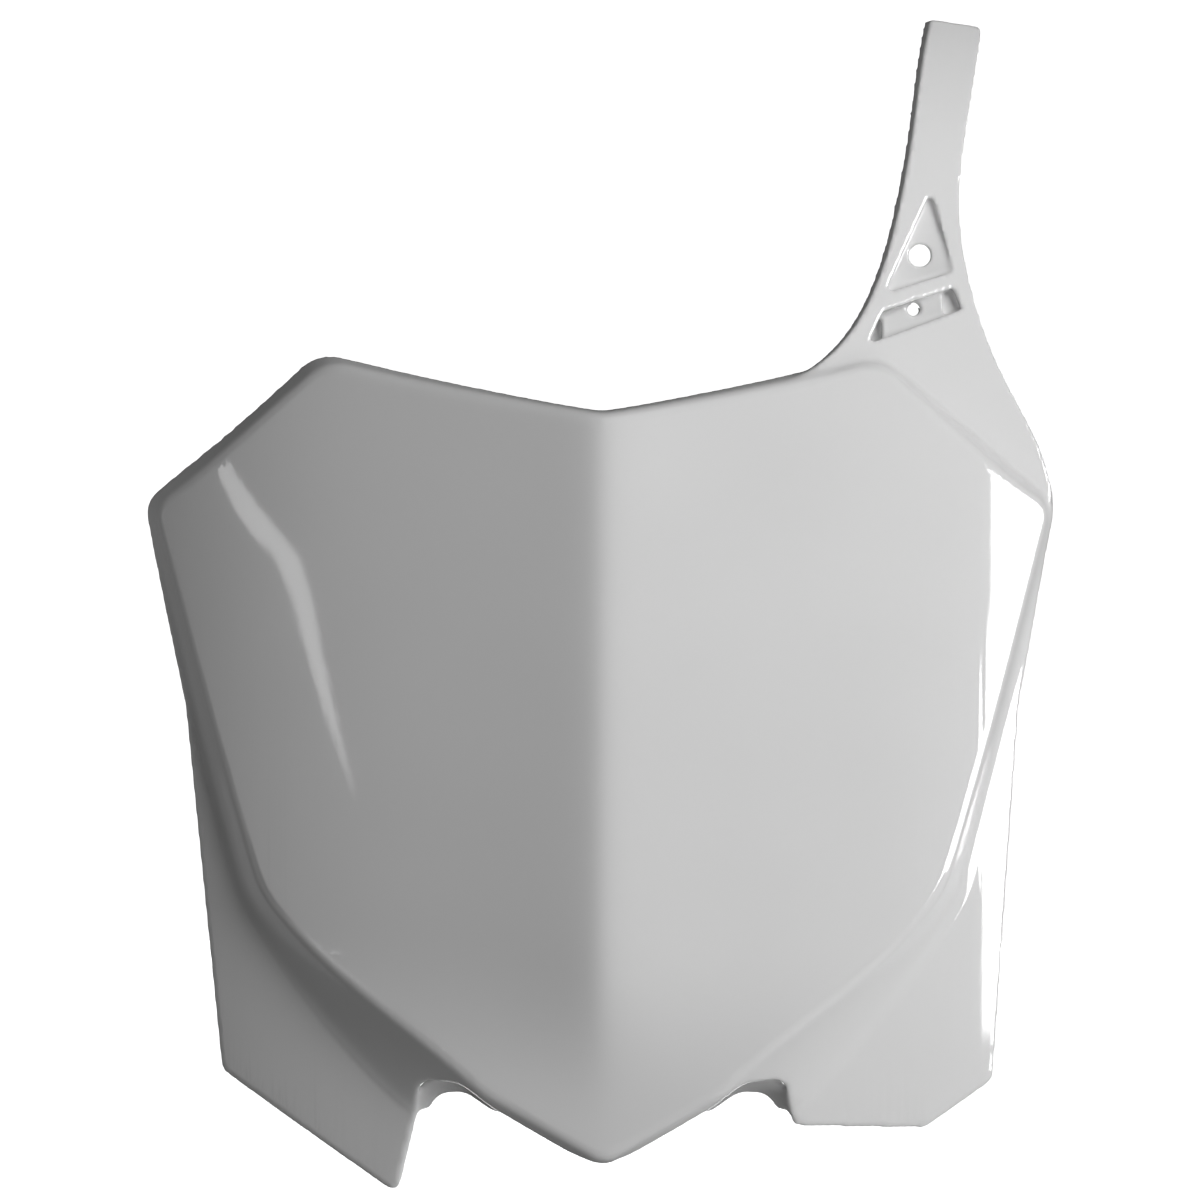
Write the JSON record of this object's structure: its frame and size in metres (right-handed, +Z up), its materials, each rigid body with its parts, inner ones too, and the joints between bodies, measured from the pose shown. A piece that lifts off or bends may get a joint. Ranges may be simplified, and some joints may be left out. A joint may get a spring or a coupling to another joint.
{
  "type": "motorbike number board",
  "caption": "Moulded front number board for an off-road motorbike: a ridged shield with stepped sides, lower wings, arched cut-outs at the chin and a windowed arm that ends in a bent strap.",
  "frame": {"origin": "centre of the bolt hole on the front of its seat, in the triangular pocket of the arm", "axes": "+Z up the board, -Y out of its front face along the bolt hole, +X to the right of someone facing the front"},
  "size_m": [0.287, 0.0626, 0.3663],
  "materials": {
    "white_plastic": "glossy white moulded plastic"
  },
  "bodies": {
    "root": {"number_board": "white_plastic"}
  },
  "joints": []
}
